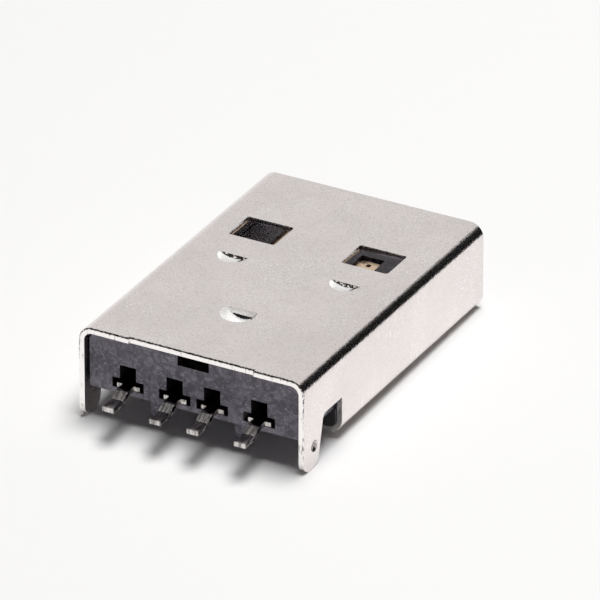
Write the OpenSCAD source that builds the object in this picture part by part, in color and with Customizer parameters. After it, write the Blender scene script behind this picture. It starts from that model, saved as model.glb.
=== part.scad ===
// USB-A plug for a circuit board, half sunk into the board's edge.
// X runs across the plug, +Y is the way it is pushed in, +Z points up from the board.
// The origin lies on the board's upper face, midway between the two locating posts.

/* [Shell] */
// Width over the shell's side walls
shell_w = 12.0; // [11.8:0.05:12.2]
// Height over the shell's top and bottom plates
shell_h = 4.5; // [4.4:0.05:4.7]
// Length from the rear edge to the nose
shell_len = 18.0; // [17.5:0.25:20]
// Thickness of the steel sheet
sheet_t = 0.3; // [0.25:0.01:0.33]
// Outside radius of the four long bends
bend_r = 0.72; // [0.6:0.02:0.85]
// Width of the hairline joint where the folded sheet meets under the plug
seam_gap = 0.05; // [0.03:0.01:0.08]
// Setback of the rear edge where the sheet was cut from its carrier strip
carrier_setback = 0.1; // [0.05:0.01:0.15]
// Width of that setback
carrier_w = 6.6; // [5:0.1:8]

/* [Latch windows] */
// Width of each window
window_w = 2.5; // [2.2:0.05:2.6]
// Length of each window
window_len = 2.03; // [1.8:0.01:2.3]
// Distance from the plug's middle to a window's inner edge
window_inner = 1.8; // [1.7:0.05:1.95]
// Distance from the nose to a window's front edge
window_from_nose = 4.6; // [4.4:0.05:5.2]
// Radius of a window's corners
window_r = 0.15; // [0.1:0.01:0.3]

/* [Board side] */
// Height of the board's upper face above the shell's underside
seat_h = 1.3; // [1.2:0.05:1.4]
// Distance from the shell's rear edge to the locating posts
post_from_rear = 1.2; // [1.1:0.05:1.4]
// Distance between the two locating posts
post_pitch = 4.5; // [4:0.1:5]
// Radius of a locating post
post_r = 0.5; // [0.4:0.05:0.55]
// Length of a locating post under the board's upper face
post_len = 1.0; // [0.8:0.05:1.2]
// Length of the notch that the board's edge goes into
notch_len = 3.75; // [3.5:0.05:4]
// Height of the notch's upper edge above the board
notch_top = 0.7; // [0.6:0.05:0.8]
// Radius of the notch's corner beside the leg
notch_r = 0.35; // [0.2:0.05:0.45]

/* [Legs] */
// Width of a leg where it leaves the side wall
leg_w = 1.85; // [1.7:0.05:2]
// Distance that a leg reaches below the board's upper face
leg_drop = 1.68; // [1.5:0.02:1.9]
// Radius of a leg tip's rear corner
leg_rear_r = 0.58; // [0.5:0.02:0.6]
// Radius of a leg tip's front corner
leg_front_r = 0.5; // [0.4:0.02:0.52]
// Width of a leg's flat foot between the two corner radii
leg_flat = 0.4; // [0.3:0.02:0.44]
// Radius of the dimple pressed into each leg
dimple_r = 0.3; // [0.2:0.02:0.34]
// Depth of that dimple
dimple_depth = 0.14; // [0.1:0.01:0.22]
// Distance from the dimple's middle up to the board's upper face
dimple_drop = 0.56; // [0.5:0.01:0.62]

/* [Lances] */
// Radius of the two front lances
front_lance_r = 0.79; // [0.7:0.01:0.85]
// Depth of the two front lances, less than the sheet is thick
front_lance_depth = 0.22; // [0.15:0.01:0.24]
// Distance from the plug's middle to a front lance
front_lance_x = 3.02; // [2.8:0.02:3.2]
// Distance from the nose to the cut edge of the front lances
front_lance_from_nose = 8.37; // [8.2:0.01:8.5]
// Radius of the rear lance
rear_lance_r = 0.87; // [0.8:0.01:0.9]
// Depth of the rear lance, more than the sheet is thick
rear_lance_depth = 0.55; // [0.5:0.01:0.58]
// Distance from the nose to the cut edge of the rear lance
rear_lance_from_nose = 13.0; // [12.8:0.05:13.2]
// Distance from the rear lance's cut edge back to its deepest point
rear_lance_set = 0.39; // [0.3:0.01:0.45]

/* [Housing] */
// Setback of the housing's rear face inside the shell
rear_setback = 0.25; // [0.15:0.05:0.35]
// Depth of the mating cavity, from the nose to the housing's front face
cavity_depth = 8.65; // [8.5:0.05:8.8]
// Height of the mating cavity above the tongue
cavity_h = 1.95; // [1.9:0.01:2]
// Setback of the tongue's end behind the nose
tongue_setback = 0.45; // [0.3:0.05:0.6]
// Bevel around the tongue's end
tongue_bevel = 0.2; // [0.1:0.05:0.3]
// Distance that the housing's step stands out of the notch's front edge
step_proud = 0.05; // [0.02:0.01:0.1]
// Clearance between the housing and the folded tube's side walls
tube_clear = 0.04; // [0.02:0.01:0.06]
// Clearance over the housing's rear block
block_clear_top = 0.1; // [0.06:0.01:0.14]
// Clearance beside the housing's rear block
block_clear_side = 0.15; // [0.1:0.01:0.2]
// Length of the rear block that stands clear of the folded tube
block_len = 4.35; // [4.2:0.05:4.5]
// Radius of the rear block's upper corners
block_r = 0.35; // [0.2:0.05:0.45]
// Width of the channel in the block's top
channel_w = 1.67; // [1.5:0.01:1.8]
// Clearance between a lance and the pocket around it
lance_clear = 0.05; // [0.03:0.01:0.08]
// Width of a contact's slot in the rear face
slot_w = 1.68; // [1.5:0.02:1.8]
// Height of a contact's slot in the rear face
slot_h = 0.52; // [0.5:0.01:0.6]
// Width of the narrow opening above each slot
core_w = 0.87; // [0.7:0.01:1]
// Height of the narrow opening above each slot
core_h = 0.72; // [0.6:0.02:0.8]
// Depth of the slot and its opening
slot_depth = 3.6; // [3.2:0.1:3.8]

/* [Contacts] */
// Thickness of the contact strip
strip_t = 0.25; // [0.2:0.01:0.28]
// Width of the contact strip
strip_w = 1.22; // [1.1:0.01:1.3]
// Distance between the two middle contacts
inner_pitch = 2.0; // [1.9:0.05:2.1]
// Distance between the two outer contacts
outer_pitch = 7.0; // [6.9:0.05:7.1]
// Length of the outer contacts in the mating cavity
power_reach = 7.41; // [7.3:0.01:7.5]
// Length of the inner contacts in the mating cavity
data_reach = 6.41; // [6.3:0.01:6.5]
// Depth of a contact's face below the tongue's top
contact_recess = 0.17; // [0.1:0.01:0.2]
// Radius of the corners at a contact's tip
tip_r = 0.3; // [0.2:0.02:0.4]
// Width of a solder tail
tail_w = 0.62; // [0.5:0.02:0.7]
// Distance that a solder tail reaches behind the shell
tail_reach = 1.65; // [1.4:0.05:1.9]
// Length of a tail's flat foot
foot_len = 0.9; // [0.7:0.05:1]
// Height of a slot's floor above the board
slot_floor = 0.27; // [0.24:0.01:0.3]
// Radius of the tail's bends along the middle of the strip
tail_bend_r = 0.35; // [0.25:0.05:0.45]
// Clearance around a contact inside the housing
contact_clear = 0.01; // [0.005:0.005:0.02]
// Radius of the small pip coined near each tip
pip_r = 0.13; // [0.1:0.01:0.16]
// Depth of that pip
pip_depth = 0.05; // [0.03:0.01:0.08]

/* [Hidden] */
$fn = 96;
eps = 0.01;

rear_y = -post_from_rear;
nose_y = rear_y + shell_len;
bottom_z = -seat_h;
top_z = bottom_z + shell_h;
roof_z = top_z - sheet_t;
floor_z = bottom_z + sheet_t;
wall_x = shell_w / 2 - sheet_t;
notch_y = rear_y + notch_len;
front_face_y = nose_y - cavity_depth;
block_rear_y = rear_y + rear_setback;
block_front_y = block_rear_y + block_len;
block_top_z = roof_z - block_clear_top;
tongue_z = roof_z - cavity_h;
tongue_y = nose_y - tongue_setback;
slot_end_y = block_rear_y + slot_depth;
step_y = notch_y - step_proud;
window_y = nose_y - window_from_nose - window_len;
front_lance_y = nose_y - front_lance_from_nose;
rear_lance_y = nose_y - rear_lance_from_nose;
dimple_y = rear_y + leg_w / 2 + 0.1;
seam_key_y = (notch_y + window_y) / 2;
seam_key_w = 1.6;
seam_key_depth = 0.9;
seam_key_flare = 0.3;
strip_in_slot_z = slot_floor + contact_clear + strip_t / 2;
strip_on_tongue_z = tongue_z - contact_recess - strip_t / 2;
strip_shoulder_y = block_rear_y + 0.02;
joggle_low_y = slot_end_y - 1.5;
joggle_high_y = slot_end_y - 0.8;
joggle_r = 0.5;
joggle_room = 0.3;
foot_end_y = rear_y - tail_reach;
tail_heel_y = foot_end_y + foot_len;
tail_knee_y = tail_heel_y + 0.5;
pip_set = 0.42;

// Radius of the sphere that presses a dish of plan radius a and depth d.
function dish_r(a, d) = (a * a + d * d) / (2 * d);

// Point where the line from p touches the circle of radius r about c, on the side given by turn.
function tangent_point(p, c, r, turn) =
    let (v = c - p, far = norm(v), reach = sqrt(far * far - r * r), swing = turn * asin(r / far),
         way = atan2(v[1], v[0]) + swing)
    p + reach * [cos(way), sin(way)];

// Frames [point, normal] along the round corner of radius r at b, on the way from a to c.
function corner_frames(a, b, c, r, steps) =
    let (u = (b - a) / norm(b - a), v = (c - b) / norm(c - b),
         turn = atan2(u[0] * v[1] - u[1] * v[0], u * v), side = sign(turn),
         start = b - u * r * tan(abs(turn) / 2), hub = start + side * r * [-u[1], u[0]],
         from = atan2(u[1], u[0]))
    [for (i = [0 : steps])
        let (way = from + turn * i / steps, n = [-sin(way), cos(way)])
        [hub - side * r * n, n]];

// Outline of a strip of thickness t along the points, with a bend radius at each inner point.
function strip_outline(points, radii, t) =
    let (last = len(points) - 1,
         u0 = (points[1] - points[0]) / norm(points[1] - points[0]),
         u1 = (points[last] - points[last - 1]) / norm(points[last] - points[last - 1]),
         inner = [for (i = [1 : last - 1])
             each corner_frames(points[i - 1], points[i], points[i + 1], radii[i - 1], 8)],
         frames = [[points[0], [-u0[1], u0[0]]], each inner, [points[last], [-u1[1], u1[0]]]])
    [for (f = frames) f[0] + f[1] * t / 2,
     for (i = [len(frames) - 1 : -1 : 0]) frames[i][0] - frames[i][1] * t / 2];

// A rectangle about the origin with round corners.
module round_rect(w, h, r) {
    square([w - 2 * r, h], center = true);
    square([w, h - 2 * r], center = true);
    for (x = [-1, 1], y = [-1, 1])
        translate([x * (w / 2 - r), y * (h / 2 - r)])
            circle(r);
}

// Runs a section drawn in X and Z along the plug, from one Y to another.
module along(from, to) {
    translate([0, to, 0])
        rotate([90, 0, 0])
            linear_extrude(to - from)
                children();
}

// Runs a profile drawn in Y and Z across the plug, from one X to another.
module across(from, to) {
    translate([from, 0, 0])
        rotate([90, 0, 90])
            linear_extrude(to - from)
                children();
}

// Section of the tube, moved in from the sheet's outer face by inset.
module tube_section(inset) {
    translate([0, bottom_z + shell_h / 2])
        round_rect(shell_w - 2 * inset, shell_h - 2 * inset, bend_r - inset);
}

// Side view of the notch: open below, round beside the leg and sharp at its front.
module notch_profile() {
    leg_y = rear_y + leg_w;
    difference() {
        translate([rear_y - 1, bottom_z - 1])
            square([notch_len + 1, seat_h + notch_top + 1]);
        translate([leg_y, notch_top - notch_r])
            difference() {
                translate([-eps, 0])
                    square([notch_r + eps, notch_r + eps]);
                translate([notch_r, 0])
                    circle(notch_r);
            }
    }
}

// Side view of a leg, its front edge leaning back to a round tip.
module leg_profile() {
    tip_z = -leg_drop;
    rear_hub = [rear_y + leg_rear_r, tip_z + leg_rear_r];
    front_hub = [rear_hub[0] + leg_flat, tip_z + leg_front_r];
    root = [rear_y + leg_w, notch_top - notch_r];
    touch = tangent_point(root, front_hub, leg_front_r, 1);
    polygon([
        [rear_y, notch_top + notch_r], [rear_y, rear_hub[1]], [rear_hub[0], tip_z],
        [front_hub[0], tip_z], touch, root, [root[0], notch_top + notch_r]
    ]);
    translate(rear_hub)
        circle(leg_rear_r);
    translate(front_hub)
        circle(leg_front_r);
}

// Ball for a lance at x, cut at y, of plan radius a and depth d; grow adds the sheet's thickness.
// The balls are turned so that their poles stay clear of the sheet.
module lance_ball(x, y, set, a, d, grow, ceiling) {
    r = dish_r(a, d);
    intersection() {
        translate([x, y - set, top_z + r - d])
            rotate([0, -90, 0])
                sphere(r + grow);
        translate([x - 2 * a, y - 4 * a, bottom_z + shell_h / 2])
            cube([4 * a, 4 * a, ceiling - bottom_z - shell_h / 2]);
    }
}

// All three lances; grow is 0 for their hollows and the sheet's thickness for their undersides.
module lances(grow, ceiling) {
    for (x = [-front_lance_x, front_lance_x])
        lance_ball(x, front_lance_y, 0, front_lance_r, front_lance_depth, grow, ceiling);
    lance_ball(0, rear_lance_y, rear_lance_set, rear_lance_r, rear_lance_depth, grow, ceiling);
}

// Balls for the two leg dimples, kept within the given width about the plug's middle.
module leg_dimples(grow, limit) {
    r = dish_r(dimple_r, dimple_depth);
    for (side = [-1, 1])
        intersection() {
            translate([side * (shell_w / 2 + r - dimple_depth), dimple_y, -dimple_drop])
                rotate(side > 0 ? 0 : 180)
                    sphere(r + grow);
            translate([0, dimple_y, -dimple_drop])
                cube([limit, 4 * dimple_r, 4 * dimple_r], center = true);
        }
}

// Hairline joint in the bottom plate, with one dovetail key halfway along it.
module seam() {
    path = [
        [0, notch_y - 1],
        [0, seam_key_y - seam_key_w / 2],
        [seam_key_depth, seam_key_y - seam_key_w / 2 - seam_key_flare],
        [seam_key_depth, seam_key_y + seam_key_w / 2 + seam_key_flare],
        [0, seam_key_y + seam_key_w / 2],
        [0, nose_y + 1]
    ];
    translate([0, 0, bottom_z - sheet_t])
        linear_extrude(3 * sheet_t)
            for (i = [1 : len(path) - 1]) {
                run = path[i] - path[i - 1];
                translate(path[i - 1])
                    rotate(atan2(run[1], run[0]))
                        translate([0, -seam_gap / 2])
                            square([norm(run), seam_gap]);
                translate(path[i])
                    circle(seam_gap / 2);
            }
}

// Four latch windows, two in the top plate and two in the bottom one.
module windows() {
    for (side = [-1, 1])
        translate([side * (window_inner + window_w / 2), window_y + window_len / 2, bottom_z - 1])
            linear_extrude(shell_h + 2)
                round_rect(window_w, window_len, window_r);
}

// One stamped and folded sheet: tube, notch, legs, windows, lances and dimples.
module shell() {
    color("silver")
        difference() {
            union() {
                difference() {
                    along(rear_y, nose_y)
                        tube_section(0);
                    along(rear_y - 1, nose_y + 1)
                        tube_section(sheet_t);
                    across(-shell_w, shell_w)
                        notch_profile();
                }
                for (x = [-shell_w / 2, wall_x])
                    across(x, x + sheet_t)
                        leg_profile();
                lances(sheet_t, roof_z + sheet_t / 2);
                leg_dimples(sheet_t, shell_w - sheet_t);
            }
            lances(0, top_z + 1);
            leg_dimples(0, shell_w + 2);
            windows();
            seam();
            translate([-carrier_w / 2, rear_y - 1, roof_z - 1])
                cube([carrier_w, 1 + carrier_setback, sheet_t + 2]);
        }
}

// Rear block, which stands on the board between the legs.
module rear_block() {
    half_w = wall_x - block_clear_side;
    along(block_rear_y, block_front_y + eps)
        union() {
            translate([-half_w, 0])
                square([2 * half_w, block_top_z - block_r]);
            translate([-half_w + block_r, 0])
                square([2 * (half_w - block_r), block_top_z]);
            for (side = [-1, 1])
                translate([side * (half_w - block_r), block_top_z - block_r])
                    circle(block_r);
        }
}

// Front block, which lies on the tube's floor and ends in a step for the board's edge,
// and the tongue in the lower half of the mating cavity.
module front_block_and_tongue() {
    low = floor_z - 1;
    high = roof_z + 1;
    intersection() {
        along(step_y, tongue_y)
            translate([0, -tube_clear])
                tube_section(sheet_t + tube_clear);
        across(-shell_w, shell_w)
            polygon([
                [step_y, low], [tongue_y - tongue_bevel, low], [tongue_y - tongue_bevel, floor_z],
                [tongue_y, floor_z + tongue_bevel], [tongue_y, tongue_z - tongue_bevel],
                [tongue_y - tongue_bevel, tongue_z], [front_face_y, tongue_z],
                [front_face_y, high], [block_front_y, high], [block_front_y, 0], [step_y, 0]
            ]);
    }
}

// Slot, narrow opening, joggle room, passage and groove for the contact at x with the given reach.
module contact_way(x, reach) {
    passage_w = strip_w + 2 * contact_clear;
    passage_h = strip_t + 2 * contact_clear;
    passage_z = strip_on_tongue_z - strip_t / 2 - contact_clear;
    room_y = joggle_low_y - joggle_room;
    room_low = min(slot_floor, passage_z);
    room_high = max(slot_floor + slot_h, passage_z + passage_h);
    translate([x - slot_w / 2, block_rear_y - 1, slot_floor])
        cube([slot_w, slot_depth + 1, slot_h]);
    translate([x - core_w / 2, block_rear_y - 1, slot_floor])
        cube([core_w, slot_depth + 1, slot_h + core_h]);
    translate([x - slot_w / 2, room_y, room_low])
        cube([slot_w, slot_end_y - room_y, room_high - room_low]);
    translate([x - passage_w / 2, slot_end_y - eps, passage_z])
        cube([passage_w, front_face_y - slot_end_y + 2 * eps, passage_h]);
    translate([x - passage_w / 2, front_face_y, passage_z])
        cube([passage_w, reach + contact_clear, cavity_h]);
}

// Channel and pockets that take the three lances and lock the housing both ways.
module lance_ways() {
    rear_reach = sqrt(pow(rear_lance_r, 2) + 2 * sheet_t * rear_lance_depth) + lance_clear;
    rear_floor = top_z - rear_lance_depth - sheet_t - lance_clear;
    front_reach = sqrt(pow(front_lance_r, 2) + 2 * sheet_t * front_lance_depth) + lance_clear;
    front_floor = top_z - front_lance_depth - sheet_t - lance_clear;
    translate([-channel_w / 2, block_rear_y - 1, rear_floor])
        cube([channel_w, rear_lance_y + lance_clear - block_rear_y + 1, shell_h]);
    intersection() {
        translate([0, rear_lance_y - rear_lance_set, rear_floor])
            cylinder(r = rear_reach, h = shell_h);
        translate([-shell_w, block_rear_y, rear_floor])
            cube([2 * shell_w, rear_lance_y + lance_clear - block_rear_y, shell_h]);
    }
    for (side = [-1, 1])
        translate([side * front_lance_x - front_reach, front_lance_y - front_reach, front_floor])
            cube([2 * front_reach, front_face_y - front_lance_y + front_reach + 1, shell_h]);
}

// Two round posts that place the plug on its board.
module posts() {
    for (side = [-1, 1])
        translate([side * post_pitch / 2, 0, -post_len])
            cylinder(r = post_r, h = post_len + slot_floor / 2);
}

// One moulding: rear block, front block, tongue and posts.
module housing() {
    color("#4b4d57")
        difference() {
            union() {
                rear_block();
                front_block_and_tongue();
                posts();
            }
            for (side = [-1, 1]) {
                contact_way(side * outer_pitch / 2, power_reach);
                contact_way(side * inner_pitch / 2, data_reach);
            }
            lance_ways();
        }
}

// One contact at x: a strip on the tongue, a joggle in the block and a bent tail on the board.
module contact(x, reach) {
    tip_y = front_face_y + reach;
    foot_z = strip_t / 2;
    side_path = [
        [tip_y, strip_on_tongue_z], [joggle_high_y, strip_on_tongue_z],
        [joggle_low_y, strip_in_slot_z], [tail_knee_y, strip_in_slot_z],
        [tail_heel_y, foot_z], [foot_end_y, foot_z]
    ];
    radii = [joggle_r, joggle_r, tail_bend_r, tail_bend_r];
    color("goldenrod")
        translate([x, 0, 0])
            difference() {
                intersection() {
                    across(-strip_w / 2, strip_w / 2)
                        polygon(strip_outline(side_path, radii, strip_t));
                    translate([0, 0, -1])
                        linear_extrude(shell_h)
                            contact_plan(tip_y);
                }
                translate([0, tip_y - pip_set, strip_on_tongue_z + strip_t / 2 - pip_depth])
                    cylinder(r = pip_r, h = 1);
            }
}

// Plan of a contact: round corners at its tip, and shoulders where it narrows to the tail.
module contact_plan(tip_y) {
    translate([-strip_w / 2, strip_shoulder_y])
        square([strip_w, tip_y - tip_r - strip_shoulder_y]);
    translate([-strip_w / 2 + tip_r, strip_shoulder_y])
        square([strip_w - 2 * tip_r, tip_y - strip_shoulder_y]);
    for (side = [-1, 1])
        translate([side * (strip_w / 2 - tip_r), tip_y - tip_r])
            circle(tip_r);
    translate([-tail_w / 2, foot_end_y - eps])
        square([tail_w, strip_shoulder_y - foot_end_y + 2 * eps]);
}

module contact_vbus() {
    contact(-outer_pitch / 2, power_reach);
}

module contact_data_minus() {
    contact(-inner_pitch / 2, data_reach);
}

module contact_data_plus() {
    contact(inner_pitch / 2, data_reach);
}

module contact_ground() {
    contact(outer_pitch / 2, power_reach);
}

shell();
housing();
contact_vbus();
contact_data_minus();
contact_data_plus();
contact_ground();
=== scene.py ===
import math
from collections import namedtuple

import bmesh
import bpy
from bpy.props import FloatProperty, FloatVectorProperty, PointerProperty
from mathutils import Matrix, Vector


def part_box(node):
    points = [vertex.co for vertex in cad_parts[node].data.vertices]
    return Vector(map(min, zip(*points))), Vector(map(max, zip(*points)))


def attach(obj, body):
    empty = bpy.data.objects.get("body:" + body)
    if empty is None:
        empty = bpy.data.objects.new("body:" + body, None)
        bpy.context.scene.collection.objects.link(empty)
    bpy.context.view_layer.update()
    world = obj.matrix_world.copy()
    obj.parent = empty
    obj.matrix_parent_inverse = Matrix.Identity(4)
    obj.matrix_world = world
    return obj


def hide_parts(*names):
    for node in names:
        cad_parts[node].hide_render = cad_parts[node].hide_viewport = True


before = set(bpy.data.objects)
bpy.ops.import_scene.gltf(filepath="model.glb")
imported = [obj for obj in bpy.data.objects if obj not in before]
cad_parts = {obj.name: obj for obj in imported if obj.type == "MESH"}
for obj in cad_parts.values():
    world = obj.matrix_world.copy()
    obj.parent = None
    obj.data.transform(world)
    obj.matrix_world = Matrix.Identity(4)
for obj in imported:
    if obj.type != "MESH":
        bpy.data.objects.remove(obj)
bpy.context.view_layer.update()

bl_info = {
    "name": "Board Plug Dresser",
    "version": (1, 0, 0),
    "blender": (4, 5, 0),
    "location": "View3D > Sidebar > Plug",
    "description": "Finishes a board plug: shell, housing, contacts and a small studio",
    "category": "Object",
}

MM = 0.001
SHELL_LOW, SHELL_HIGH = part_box("shell")
HOUSING_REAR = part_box("housing")[0].y
CONTACTS = ["contact_vbus", "contact_data_minus", "contact_data_plus", "contact_ground"]

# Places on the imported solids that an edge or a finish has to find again.
TUBE_UNDERSIDE = -1.3 * MM
TUBE_MIDDLE = (SHELL_HIGH.z + TUBE_UNDERSIDE) / 2
NOTCH_END = 2.6 * MM
CAVITY_BACK = SHELL_HIGH.y - 8.65 * MM
GROOVE_ENDS = (CAVITY_BACK + 6.42 * MM, CAVITY_BACK + 7.42 * MM)
GROOVE_ROOM = 0.10 * MM
ON_TONGUE = CAVITY_BACK + 3.0 * MM
DIMPLE_Y, DIMPLE_Z, DIMPLE_RADIUS = -0.175 * MM, -0.56 * MM, 0.31 * MM

Lance = namedtuple("Lance", "x y radius slit")
LANCES = [
    Lance(-3.02 * MM, SHELL_HIGH.y - 8.37 * MM, 0.80 * MM, False),
    Lance(3.02 * MM, SHELL_HIGH.y - 8.37 * MM, 0.80 * MM, False),
    Lance(0.0, SHELL_HIGH.y - 13.0 * MM, 0.88 * MM, True),
]


# ---------------------------------------------------------------- settings

class PlugShellSettings(bpy.types.PropertyGroup):
    edge_round: FloatProperty(
        name="Edge rounding", description="Radius left on the sheet's stamped edges",
        default=0.028 * MM, min=0.0, subtype="DISTANCE", unit="LENGTH")
    roll: FloatProperty(
        name="Rollover", description="Radius of the drawn-over outer edge at the rear",
        default=0.075 * MM, min=0.0, subtype="DISTANCE", unit="LENGTH")
    sheet: FloatProperty(
        name="Sheet thickness", description="Thickness of the folded sheet",
        default=0.3 * MM, min=0.0, subtype="DISTANCE", unit="LENGTH")
    bend: FloatProperty(
        name="Bend radius", description="Outside radius of the four long bends",
        default=0.72 * MM, min=0.0, subtype="DISTANCE", unit="LENGTH")
    colour: FloatVectorProperty(
        name="Nickel colour", description="Colour of the plated steel",
        default=(0.852, 0.797, 0.784), size=3, min=0.0, max=1.0, subtype="COLOR")
    grain: FloatProperty(
        name="Grain size", description="Width of the plating's finest grain",
        default=0.075 * MM, min=0.0, subtype="DISTANCE", unit="LENGTH")


class PlugHousingSettings(bpy.types.PropertyGroup):
    dark: FloatVectorProperty(
        name="Dark plastic", description="Colour of the moulding's dark swirls",
        default=(0.090, 0.082, 0.106), size=3, min=0.0, max=1.0, subtype="COLOR")
    pale: FloatVectorProperty(
        name="Pale plastic", description="Colour of the moulding's pale swirls",
        default=(0.262, 0.238, 0.292), size=3, min=0.0, max=1.0, subtype="COLOR")


class PlugContactSettings(bpy.types.PropertyGroup):
    edge_round: FloatProperty(
        name="Edge rounding", description="Radius left on the contact strip's edges",
        default=0.02 * MM, min=0.0, subtype="DISTANCE", unit="LENGTH")
    tip_shift: FloatProperty(
        name="Tip shift", description="How much further the plated tips reach towards the nose",
        default=0.33 * MM, subtype="DISTANCE", unit="LENGTH")
    gold: FloatVectorProperty(
        name="Gold", description="Colour of the plated face on the tongue",
        default=(1.0, 0.79, 0.58), size=3, min=0.0, max=1.0, subtype="COLOR")
    tin: FloatVectorProperty(
        name="Tin", description="Colour of the solder tails",
        default=(0.66, 0.63, 0.61), size=3, min=0.0, max=1.0, subtype="COLOR")


class PlugStudioSettings(bpy.types.PropertyGroup):
    table: FloatVectorProperty(
        name="Table", description="Colour of the table top",
        default=(0.86, 0.855, 0.85), size=3, min=0.0, max=1.0, subtype="COLOR")
    table_radius: FloatProperty(
        name="Table radius", description="Half the width of the table top",
        default=0.6, min=0.1, subtype="DISTANCE", unit="LENGTH")
    light: FloatProperty(
        name="Room light", description="Strength of the light from all round",
        default=0.035, min=0.0)
    backdrop: FloatProperty(
        name="Backdrop", description="Brightness of the room behind the table",
        default=0.937, min=0.0, max=1.0)
    lamp_power: FloatProperty(
        name="Lamp power", description="Power of the overhead softbox",
        default=1.95, min=0.0, unit="POWER")
    lamp_width: FloatProperty(
        name="Lamp width", description="Width of the overhead softbox, across the plug",
        default=0.26, min=0.01, subtype="DISTANCE", unit="LENGTH")
    lamp_depth: FloatProperty(
        name="Lamp depth", description="Depth of the overhead softbox, along the plug",
        default=0.18, min=0.01, subtype="DISTANCE", unit="LENGTH")
    lamp_at: FloatVectorProperty(
        name="Lamp place", description="Where the overhead softbox hangs",
        default=(0.05, 0.03, 0.40), size=3, subtype="TRANSLATION", unit="LENGTH")
    azimuth: FloatProperty(
        name="View azimuth", description="Turn of the camera about the plug, from its rear",
        default=math.radians(28.55), subtype="ANGLE", unit="ROTATION")
    elevation: FloatProperty(
        name="View elevation", description="Height of the camera above the horizon",
        default=math.radians(28.34), subtype="ANGLE", unit="ROTATION")
    lens: FloatProperty(
        name="Lens", description="Focal length in millimetres on a 36 mm sensor",
        default=519.98, min=10.0)
    camera_at: FloatVectorProperty(
        name="Camera place", description="Where the camera stands",
        default=(0.173192, -0.308870, 0.196488), size=3, subtype="TRANSLATION", unit="LENGTH")


# ---------------------------------------------------------------- shader maths

class Signal:
    """A socket or number that takes part in an expression, adding Math nodes as it goes."""

    def __init__(self, board, socket):
        self.board = board
        self.socket = socket

    def _math(self, operation, *inputs, clamp=False):
        node = self.board.add("ShaderNodeMath", {"operation": operation, "use_clamp": clamp})
        for socket, value in zip(node.inputs, inputs):
            self.board.feed(socket, value)
        return Signal(self.board, node.outputs[0])

    def __add__(self, other):
        return self._math("ADD", self, other)

    def __radd__(self, other):
        return self._math("ADD", other, self)

    def __sub__(self, other):
        return self._math("SUBTRACT", self, other)

    def __rsub__(self, other):
        return self._math("SUBTRACT", other, self)

    def __mul__(self, other):
        return self._math("MULTIPLY", self, other)

    def __rmul__(self, other):
        return self._math("MULTIPLY", other, self)

    def smooth(self, off, on):
        """0 at off and 1 at on, with a soft step between; off may be the larger of the two."""
        flip = off > on
        return self.board.signal("ShaderNodeMapRange", {"interpolation_type": "SMOOTHSTEP"}, {
            "Value": self, "From Min": min(off, on), "From Max": max(off, on),
            "To Min": 1.0 if flip else 0.0, "To Max": 0.0 if flip else 1.0})

    def most(self, other):
        return self._math("MAXIMUM", self, other)

    def size(self):
        return self._math("ABSOLUTE", self)

    def limited(self):
        return self._math("ADD", self, 0.0, clamp=True)


class Board:
    """The node tree of one material or world, with one method for every kind of node."""

    # The Mix node has a set of sockets for each kind of data; these are its colour ones.
    MIX_FACTOR, MIX_FIRST, MIX_SECOND, MIX_RESULT = 0, 6, 7, 2

    def __init__(self, tree):
        self.tree = tree
        self.tree.nodes.clear()

    def feed(self, socket, value):
        """Links a signal or socket to a socket, or sets the socket's own value."""
        if isinstance(value, Signal):
            value = value.socket
        if isinstance(value, bpy.types.NodeSocket):
            self.tree.links.new(value, socket)
            return
        if not isinstance(value, (int, float)):
            value = tuple(value)
            if len(socket.default_value) == 4 and len(value) == 3:
                value = (*value, 1.0)
        socket.default_value = value

    def add(self, kind, settings=None, sockets=None):
        node = self.tree.nodes.new(kind)
        for key, value in (settings or {}).items():
            setattr(node, key, value)
        for key, value in (sockets or {}).items():
            self.feed(node.inputs[key], value)
        return node

    def signal(self, kind, settings=None, sockets=None, output=0):
        return Signal(self, self.add(kind, settings, sockets).outputs[output])

    def coordinates(self, kind):
        return self.add("ShaderNodeTexCoord").outputs[kind]

    def xyz(self, vector):
        parts = self.add("ShaderNodeSeparateXYZ", sockets={0: vector})
        return [Signal(self, out) for out in parts.outputs]

    def stretched(self, vector, scale):
        """The coordinates for a pattern that is drawn out along the axes with a small scale."""
        return self.add("ShaderNodeVectorMath", {"operation": "MULTIPLY"},
                        {0: vector, 1: scale}).outputs[0]

    def noise(self, vector, width, detail=2.0, rough=0.5, distortion=0.0):
        """Noise about 0.5 whose blobs are about the given width in metres."""
        return self.signal("ShaderNodeTexNoise", None, {
            "Vector": vector, "Scale": 1.0 / width, "Detail": detail,
            "Roughness": rough, "Distortion": distortion}, "Fac")

    def attribute(self, name):
        return self.signal("ShaderNodeAttribute", {"attribute_name": name}, None, "Fac")

    def ray(self, *kinds):
        """1 for rays of any of the kinds, 0 for others."""
        path = self.add("ShaderNodeLightPath")
        first, *rest = [Signal(self, path.outputs[f"Is {kind} Ray"]) for kind in kinds]
        for other in rest:
            first = first.most(other)
        return first

    def blend(self, factor, first, second):
        """A colour that goes from the first to the second as the factor goes from 0 to 1."""
        node = self.add("ShaderNodeMix", {"data_type": "RGBA"}, {
            self.MIX_FACTOR: factor, self.MIX_FIRST: first, self.MIX_SECOND: second})
        return node.outputs[self.MIX_RESULT]

    def bump(self, height, distance, strength):
        return self.add("ShaderNodeBump", None, {
            "Height": height, "Distance": distance, "Strength": strength}).outputs[0]

    def finish(self, kind, shader):
        """Ends the tree in its output node, of the given kind."""
        self.add(kind, None, {"Surface": shader.outputs[0]})


def new_material(name):
    material = bpy.data.materials.new(name)
    material.use_nodes = True
    return material, Board(material.node_tree)


def shade(colour, share):
    return [channel * share for channel in colour]


# ---------------------------------------------------------------- finishes

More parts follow.
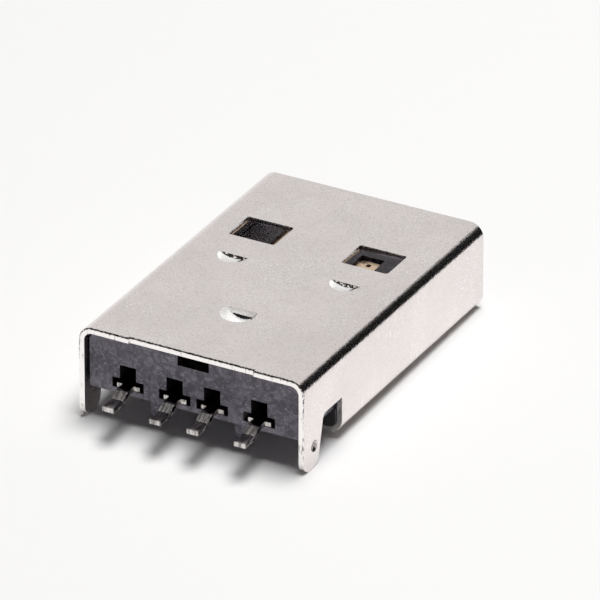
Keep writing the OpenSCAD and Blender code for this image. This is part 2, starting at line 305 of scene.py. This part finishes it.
def nickel_plated_steel(settings):
    """Satin nickel on stamped steel: grainy faces, bright streaked edges where it was cut, a
    painted highlight in the lances and painted shade along some edges and hollows.
    """
    material, board = new_material("nickel_plated_steel")
    where = board.coordinates("Object")
    grain = board.noise(where, settings.grain, 3.0, 0.62)
    speck = board.noise(where, settings.grain * 1.3, 1.0)
    patch = board.noise(where, 2.2 * MM)
    cloud = board.noise(where, 3.4 * MM)
    mottle = board.noise(where, 0.5 * MM, 3.0, 0.55)
    peel = board.noise(where, 0.22 * MM)
    streak = board.noise(board.stretched(where, (1.0, 1.0, 0.22)), 0.16 * MM, 3.0, 0.65)
    ragged = board.noise(where, 0.10 * MM, 2.0, 0.6).smooth(0.62, 0.46)
    cut, dish, burr = (board.attribute(name) for name in ("cut", "dish", "burr"))

    tone = (cloud * 0.6 + mottle * 0.4).smooth(0.34, 0.66)
    colour = board.blend(tone, shade(settings.colour, 0.925), settings.colour)
    glint = speck.smooth(0.60, 0.68) * patch.smooth(0.40, 0.62) * 0.95
    colour = board.blend(glint, colour, (1.0, 1.0, 1.0))
    colour = board.blend(grain.smooth(0.50, 0.30) * 0.50, colour, (0.42, 0.37, 0.35))
    sheared = board.blend(streak.smooth(0.44, 0.30), (0.98, 0.95, 0.93), (0.30, 0.26, 0.24))
    colour = board.blend(cut, colour, sheared)
    # Painted highlight: the lance dishes and the slit lance's wall are painted near white, and
    # made less metallic below.
    colour = board.blend(dish, colour, (0.97, 0.955, 0.94))
    # Painted shade: near black and broken up, on the rolled rear edge, the lances' ends and
    # walls, and the leg dimples.
    colour = board.blend(burr * ragged * 0.9, colour, (0.030, 0.026, 0.024))

    relief = (grain * 0.8 + peel * 1.4) * (1.0 - cut * 0.7) + streak * cut * 0.8
    board.finish("ShaderNodeOutputMaterial", board.add("ShaderNodeBsdfPrincipled", None, {
        "Base Color": colour,
        "Metallic": 1.0 - dish * 0.80,
        "Roughness": 0.075 + grain * 0.12 + mottle * 0.04 + cut * 0.10,
        "Normal": board.bump(relief, 0.0075 * MM, 0.9)}))
    return material


def mottled_plastic(settings):
    """Filled dark plastic with pale swirls, short creases and a slightly dusty surface; the
    slot walls and the board step are painted near black as shade.
    """
    material, board = new_material("mottled_plastic")
    where = board.coordinates("Object")
    warp = board.noise(where, 1.3 * MM, 2.0, 0.5, 0.8)
    swirl = board.noise(where, 0.45 * MM, 3.0, 0.6, 1.6)
    drawn = board.stretched(where, (0.55, 1.0, 1.3))
    crease = board.noise(drawn, 0.30 * MM, 2.0, 0.5, 1.8)
    fold = (1.0 - (crease - 0.5).size() * 30.0).limited()
    dust = board.noise(where, 0.07 * MM, 2.0, 0.6)

    tone = (swirl * 0.7 + warp * 0.4).smooth(0.38, 0.72) * 0.8
    colour = board.blend(tone, settings.dark, settings.pale)
    scratch = fold * swirl.smooth(0.46, 0.58) * 0.80
    colour = board.blend(scratch, colour, (0.52, 0.50, 0.56))
    colour = board.blend(dust.smooth(0.62, 0.74) * 0.30, colour, (0.38, 0.36, 0.40))
    # Painted shade: the slot walls and the board step are painted near black.
    colour = board.blend(board.attribute("deep"), colour, (0.012, 0.011, 0.013))

    relief = dust * 0.5 + swirl + fold * 0.5
    board.finish("ShaderNodeOutputMaterial", board.add("ShaderNodeBsdfPrincipled", None, {
        "Specular IOR Level": 0.45,
        "Base Color": colour,
        "Roughness": 0.40 + swirl * 0.20,
        "Normal": board.bump(relief, 0.014 * MM, 0.8)}))
    return material


def plated_strip(settings):
    """Bright tin on the tail, turning to matte gold on the part that lies on the tongue."""
    material, board = new_material("plated_strip")
    where = board.coordinates("Object")
    grain = board.noise(where, 0.05 * MM, 3.0, 0.6)
    drawn = board.noise(board.stretched(where, (1.0, 0.10, 1.0)), 0.08 * MM)
    drag = board.noise(board.stretched(where, (1.0, 0.14, 0.14)), 0.11 * MM, 2.0, 0.6)
    cloud = board.noise(where, 0.6 * MM)
    along = board.xyz(where)[1]
    golden = (along + cloud * (1.2 * MM)).smooth(6.6 * MM, 7.4 * MM)

    gold = board.blend(cloud, shade(settings.gold, 0.93), settings.gold)
    tin = board.blend(drag.smooth(0.40, 0.62), shade(settings.tin, 0.38), settings.tin)
    colour = board.blend(golden, tin, gold)
    colour = board.blend(grain.smooth(0.40, 0.25) * 0.35, colour, (0.40, 0.36, 0.31))

    board.finish("ShaderNodeOutputMaterial", board.add("ShaderNodeBsdfPrincipled", None, {
        "Metallic": 1.0,
        "Base Color": colour,
        "Roughness": 0.14 + golden * 0.22 + grain * 0.10,
        "Normal": board.bump(drawn + grain * 0.6, 0.005 * MM, 0.8)}))
    return material


# ---------------------------------------------------------------- shapes

def node_copy(name):
    """The CAD node's shape as a bmesh, its loose triangles merged into flat faces."""
    bm = bmesh.new()
    bm.from_mesh(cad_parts[name].data)
    bmesh.ops.remove_doubles(bm, verts=bm.verts, dist=0.0004 * MM)
    bmesh.ops.dissolve_limit(
        bm, angle_limit=math.radians(0.6), verts=bm.verts, edges=bm.edges,
        use_dissolve_boundaries=False)
    return bm


def is_sharp(edge, degrees):
    return len(edge.link_faces) == 2 and edge.calc_face_angle(0.0) > math.radians(degrees)


def ease_edges(bm, width, degrees):
    """Rounds every edge that is sharper than the angle."""
    bmesh.ops.bevel(
        bm, geom=[edge for edge in bm.edges if is_sharp(edge, degrees)],
        offset=width, offset_type="OFFSET", segments=2, profile=0.5, affect="EDGES",
        clamp_overlap=False, material=-1, loop_slide=True,
        miter_outer="ARC", miter_inner="ARC", spread=width)


def finish_piece(bm, name, node, material):
    """Turns a bmesh into a piece that stands in for its CAD node."""
    bmesh.ops.recalc_face_normals(bm, faces=bm.faces)
    mesh = bpy.data.meshes.new(name)
    bm.to_mesh(mesh)
    bm.free()
    mesh.shade_smooth()
    mesh.set_sharp_from_angle(angle=math.radians(28.0))
    mesh.materials.append(material)
    piece = bpy.data.objects.new(name, mesh)
    bpy.context.scene.collection.objects.link(piece)
    weighted = piece.modifiers.new("flat_faces_stay_flat", "WEIGHTED_NORMAL")
    weighted.keep_sharp = True
    weighted.weight = 80
    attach(piece, "root")
    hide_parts(node)
    return piece


def past_bend_centres(point, settings):
    """How far a point is outside the rectangle through the tube's four bend centres."""
    half_height = SHELL_HIGH.z - TUBE_MIDDLE
    return (abs(point.x) - (SHELL_HIGH.x - settings.bend),
            abs(point.z - TUBE_MIDDLE) - (half_height - settings.bend))


def sheet_depth(point, settings):
    """Distance of a point below the folded sheet's outer face."""
    across, up = past_bend_centres(point, settings)
    if across > 0.0 and up > 0.0:
        return settings.bend - math.hypot(across, up)
    return settings.bend - max(across, up)


def sheet_normal(point, settings):
    """Outward direction of the folded sheet beside a point, across its thickness."""
    across, up = past_bend_centres(point, settings)
    in_side_wall = abs(point.x) > SHELL_HIGH.x - settings.sheet * 1.05
    if in_side_wall and point.z < TUBE_MIDDLE and point.y < NOTCH_END:
        up = 0.0    # the legs run straight down, past the level of the lower bends
    out = Vector((
        math.copysign(max(across, 0.0), point.x), 0.0,
        math.copysign(max(up, 0.0), point.z - TUBE_MIDDLE)))
    if out.length > 1e-9:
        return out.normalized()
    return Vector((0.0, 0.0, math.copysign(1.0, point.z - TUBE_MIDDLE)))


def mark_cut_faces(bm, settings):
    """Marks the faces that show the sheet's thickness, where it was sheared."""
    cut = bm.faces.layers.float.new("cut")
    for face in bm.faces:
        out = sheet_normal(face.calc_center_median(), settings)
        face[cut] = 1.0 if abs(face.normal.dot(out)) < 0.2 else 0.0


def roll_over(bm, settings):
    """Rounds the outer edge at the rear, where the blanking punch drew the sheet over, and
    marks the rounded faces for painted shade.
    """
    burr = bm.faces.layers.float.new("burr")
    rear_end, above_legs = SHELL_LOW.y + 0.15 * MM, 0.5 * MM

    def on_outside(point):
        return SHELL_HIGH.z - point.z < 0.001 * MM or sheet_depth(point, settings) < 0.004 * MM

    edges = []
    for edge in bm.edges:
        ends = [vert.co for vert in edge.verts]
        if (all(end.y < rear_end and end.z > above_legs and on_outside(end) for end in ends)
                and is_sharp(edge, 60.0)):
            edges.append(edge)
    rolled = bmesh.ops.bevel(
        bm, geom=edges, offset=settings.roll, offset_type="OFFSET", segments=4, profile=0.5,
        affect="EDGES", clamp_overlap=False, material=-1, loop_slide=True)
    # The rounded faces get painted shade, a dark line along the rear edge.
    for face in rolled["faces"]:
        face[burr] = 1.0


def mark_lance(face, lance, dish, burr):
    """Marks a lance's dish, and the slit lance's wall, for a painted highlight; the dish's
    right end and the other lances' sheared walls for painted shade.
    """
    p, n = face.calc_center_median(), face.normal
    along = lance.y - 1.6 * lance.radius < p.y < lance.y + 0.05 * MM
    pressed = SHELL_HIGH.z - 0.62 * MM < p.z < SHELL_HIGH.z - 0.003 * MM
    if abs(p.x - lance.x) > lance.radius or not along or not pressed:
        return
    if n.z > 0.35:
        face[dish] = 1.0
        if p.x - lance.x > 0.52 * lance.radius:
            face[burr] = 1.2
    elif n.y < -0.9 and lance.slit:
        face[dish] = 0.9
    elif n.y < -0.9:
        face[burr] = 2.2


def mark_pressed_faces(bm, settings):
    """Marks the lances, and the dimple in each leg for painted shade."""
    dish = bm.faces.layers.float.new("dish")
    burr = bm.faces.layers.float["burr"]
    for face in bm.faces:
        for lance in LANCES:
            mark_lance(face, lance, dish, burr)
        p, n = face.calc_center_median(), face.normal
        in_leg = SHELL_HIGH.x - settings.sheet < abs(p.x) < SHELL_HIGH.x - 0.002 * MM
        near = math.hypot(p.y - DIMPLE_Y, p.z - DIMPLE_Z) < DIMPLE_RADIUS
        # The dimple's faces get painted shade.
        if in_leg and near and abs(n.x) > 0.3:
            face[burr] = 0.8


def mark_painted_deep_shade(bm):
    """Marks the walls inside the rear face's slots and the board step for painted shade, near
    black.
    """
    deep = bm.faces.layers.float.new("deep")
    for face in bm.faces:
        x, y, z = face.calc_center_median() / MM
        behind_rear = y > HOUSING_REAR / MM + 0.05
        slot = behind_rear and y < 4.5 and abs(x) < 4.6 and 0.2 < z < 2.75
        step = z < -0.05 and 2.4 < y < 2.6
        face[deep] = 1.0 if slot or step else 0.0


class PLUG_OT_shell(bpy.types.Operator):
    """Make the folded shell, with eased edges and its cut faces marked for the finish"""
    bl_idname = "plug.shell"
    bl_label = "Folded shell"
    bl_options = {"REGISTER", "UNDO"}

    def execute(self, context):
        settings = context.scene.plug_shell
        bm = node_copy("shell")
        mark_cut_faces(bm, settings)
        roll_over(bm, settings)
        mark_pressed_faces(bm, settings)
        ease_edges(bm, settings.edge_round, 32.0)
        finish_piece(bm, "folded_shell", "shell", nickel_plated_steel(settings))
        return {"FINISHED"}


class PLUG_OT_housing(bpy.types.Operator):
    """Make the moulded housing, its contact grooves drawn out to the contacts' tips"""
    bl_idname = "plug.housing"
    bl_label = "Moulded housing"
    bl_options = {"REGISTER", "UNDO"}

    def execute(self, context):
        settings = context.scene.plug_housing
        drawn = context.scene.plug_contact.tip_shift + GROOVE_ROOM
        bm = node_copy("housing")
        for vert in bm.verts:
            at_end = any(abs(vert.co.y - end) < 0.005 * MM for end in GROOVE_ENDS)
            if at_end and vert.co.z > 0.3 * MM:
                vert.co.y += drawn
        mark_painted_deep_shade(bm)
        finish_piece(bm, "moulded_housing", "housing", mottled_plastic(settings))
        return {"FINISHED"}


class PLUG_OT_contacts(bpy.types.Operator):
    """Make the four plated contacts, all from one finish"""
    bl_idname = "plug.contacts"
    bl_label = "Plated contacts"
    bl_options = {"REGISTER", "UNDO"}

    def execute(self, context):
        settings = context.scene.plug_contact
        finish = plated_strip(settings)
        for node in CONTACTS:
            bm = node_copy(node)
            for vert in bm.verts:
                if vert.co.y > ON_TONGUE:
                    vert.co.y += settings.tip_shift
            ease_edges(bm, settings.edge_round, 40.0)
            finish_piece(bm, node + "_strip", node, finish)
        return {"FINISHED"}


# ---------------------------------------------------------------- studio

def table_height(y):
    """Height of the table under the plug, which rests on its two legs and its nose."""
    feet, nose = Vector((-0.4, -1.68)) * MM, Vector((16.8, -1.3)) * MM
    slope = (nose.y - feet.y) / (nose.x - feet.x)
    return feet.y + (y - feet.x) * slope - 0.002 * MM


def pale_table(settings):
    """Pale paper; polished metal sees it end in the dark, a little way off to the right."""
    material, board = new_material("pale_table")
    where = board.coordinates("Object")
    fibre = board.noise(where, 0.8 * MM, 3.0)
    tint = board.blend(fibre, shade(settings.table, 0.99), settings.table)
    paper = board.add("ShaderNodeBsdfDiffuse", None, {"Color": tint})
    glow = board.add("ShaderNodeEmission", None, {"Color": (1.0, 1.0, 1.0), "Strength": 0.005})
    lifted = board.add("ShaderNodeAddShader", None, {0: paper.outputs[0], 1: glow.outputs[0]})
    seen = board.ray("Camera", "Glossy", "Transmission")
    top = board.add("ShaderNodeMixShader", None, {
        0: seen, 1: paper.outputs[0], 2: lifted.outputs[0]})

    x, y, _ = board.xyz(where)
    far = (x * 0.63 + y * 0.77).smooth(0.036, 0.040)
    to_the_right = (x - y * 0.38).smooth(0.0, 0.004)
    dark = board.add("ShaderNodeBsdfDiffuse", None, {"Color": (0.01, 0.01, 0.01)})
    board.finish("ShaderNodeOutputMaterial", board.add("ShaderNodeMixShader", None, {
        0: far * to_the_right * board.ray("Glossy"), 1: top.outputs[0], 2: dark.outputs[0]}))
    return material


def studio_room(settings):
    """Even room light; polished metal sees white walls and one dark doorway on the right."""
    world = bpy.data.worlds.new("studio_room")
    world.use_nodes = True
    bpy.context.scene.world = world
    board = Board(world.node_tree)
    x, y, z = board.xyz(board.coordinates("Generated"))

    to_the_right = (x - y * 0.38).smooth(-0.03, 0.02)
    doorway = to_the_right * z.smooth(0.60, 0.54) * y.smooth(0.10, 0.30)
    nose_wall = y.smooth(-0.10, 0.25) * (0.765 + z.smooth(0.34, 0.12) * 0.14)
    rear_wall = y.smooth(0.05, -0.10) * z.smooth(0.34, 0.20) * 0.95
    ceiling = z.smooth(0.93, 0.98)
    mirrored = (nose_wall * (1.0 - doorway)).most(ceiling).most(rear_wall) + 0.010

    mirror, eye = board.ray("Glossy"), board.ray("Camera")
    strength = mirror * mirrored + (1.0 - mirror) * settings.light
    strength = eye * settings.backdrop + (1.0 - eye) * strength
    board.finish("ShaderNodeOutputWorld", board.add("ShaderNodeBackground", None, {
        "Color": (1.0, 0.995, 0.985), "Strength": strength}))


def add_table(settings):
    bm = bmesh.new()
    bmesh.ops.create_circle(bm, cap_ends=True, segments=64, radius=settings.table_radius)
    for vert in bm.verts:
        vert.co.z = table_height(vert.co.y)
    mesh = bpy.data.meshes.new("table_top")
    bm.to_mesh(mesh)
    bm.free()
    mesh.materials.append(pale_table(settings))
    table = bpy.data.objects.new("table_top", mesh)
    bpy.context.scene.collection.objects.link(table)


def add_softbox(settings):
    """An overhead lamp that faces the plug; only its light shows, not its reflection."""
    lamp = bpy.data.lights.new("overhead_softbox", "AREA")
    lamp.shape = "RECTANGLE"
    lamp.size, lamp.size_y = settings.lamp_width, settings.lamp_depth
    lamp.energy = settings.lamp_power
    softbox = bpy.data.objects.new("overhead_softbox", lamp)
    softbox.location = settings.lamp_at
    softbox.visible_glossy = False
    softbox.rotation_mode = "QUATERNION"
    softbox.rotation_quaternion = Vector(settings.lamp_at).to_track_quat("Z", "Y")
    bpy.context.scene.collection.objects.link(softbox)


def add_camera(settings):
    turn, rise = settings.azimuth, settings.elevation
    back = Vector((
        math.sin(turn) * math.cos(rise), -math.cos(turn) * math.cos(rise), math.sin(rise)))
    right = Vector((math.cos(turn), math.sin(turn), 0.0))
    data = bpy.data.cameras.new("bench_camera")
    data.sensor_width = 36.0
    data.lens = settings.lens
    data.clip_start, data.clip_end = 0.02, 20.0
    camera = bpy.data.objects.new("bench_camera", data)
    axes = Matrix((right, back.cross(right), back)).transposed().to_4x4()
    camera.matrix_world = Matrix.Translation(settings.camera_at) @ axes
    bpy.context.scene.collection.objects.link(camera)
    bpy.context.scene.camera = camera


class PLUG_OT_stage(bpy.types.Operator):
    """Make the pale table, the room, the lamp and the camera"""
    bl_idname = "plug.stage"
    bl_label = "Table, light and camera"
    bl_options = {"REGISTER", "UNDO"}

    def execute(self, context):
        settings = context.scene.plug_studio
        add_table(settings)
        studio_room(settings)
        add_softbox(settings)
        add_camera(settings)
        context.scene.view_settings.view_transform = "Standard"
        return {"FINISHED"}


# ---------------------------------------------------------------- add-on

class PLUG_PT_sidebar(bpy.types.Panel):
    """Lists the plug's pieces and their settings"""
    bl_idname = "PLUG_PT_sidebar"
    bl_label = "Board plug"
    bl_space_type = "VIEW_3D"
    bl_region_type = "UI"
    bl_category = "Plug"

    def draw(self, context):
        for group, (settings_class, operator_class) in STEPS.items():
            box = self.layout.box()
            box.operator(operator_class.bl_idname)
            for key in settings_class.__annotations__:
                box.prop(getattr(context.scene, group), key)


STEPS = {
    "plug_studio": (PlugStudioSettings, PLUG_OT_stage),
    "plug_shell": (PlugShellSettings, PLUG_OT_shell),
    "plug_housing": (PlugHousingSettings, PLUG_OT_housing),
    "plug_contact": (PlugContactSettings, PLUG_OT_contacts),
}
CLASSES = [cls for pair in STEPS.values() for cls in pair] + [PLUG_PT_sidebar]


def register():
    for cls in CLASSES:
        bpy.utils.register_class(cls)
    for group, (settings_class, _) in STEPS.items():
        setattr(bpy.types.Scene, group, PointerProperty(type=settings_class))


def unregister():
    for group in STEPS:
        delattr(bpy.types.Scene, group)
    for cls in reversed(CLASSES):
        bpy.utils.unregister_class(cls)


def main():
    register()
    bpy.ops.plug.stage()
    bpy.ops.plug.shell()
    bpy.ops.plug.housing()
    bpy.ops.plug.contacts()


if __name__ == "__main__":
    main()
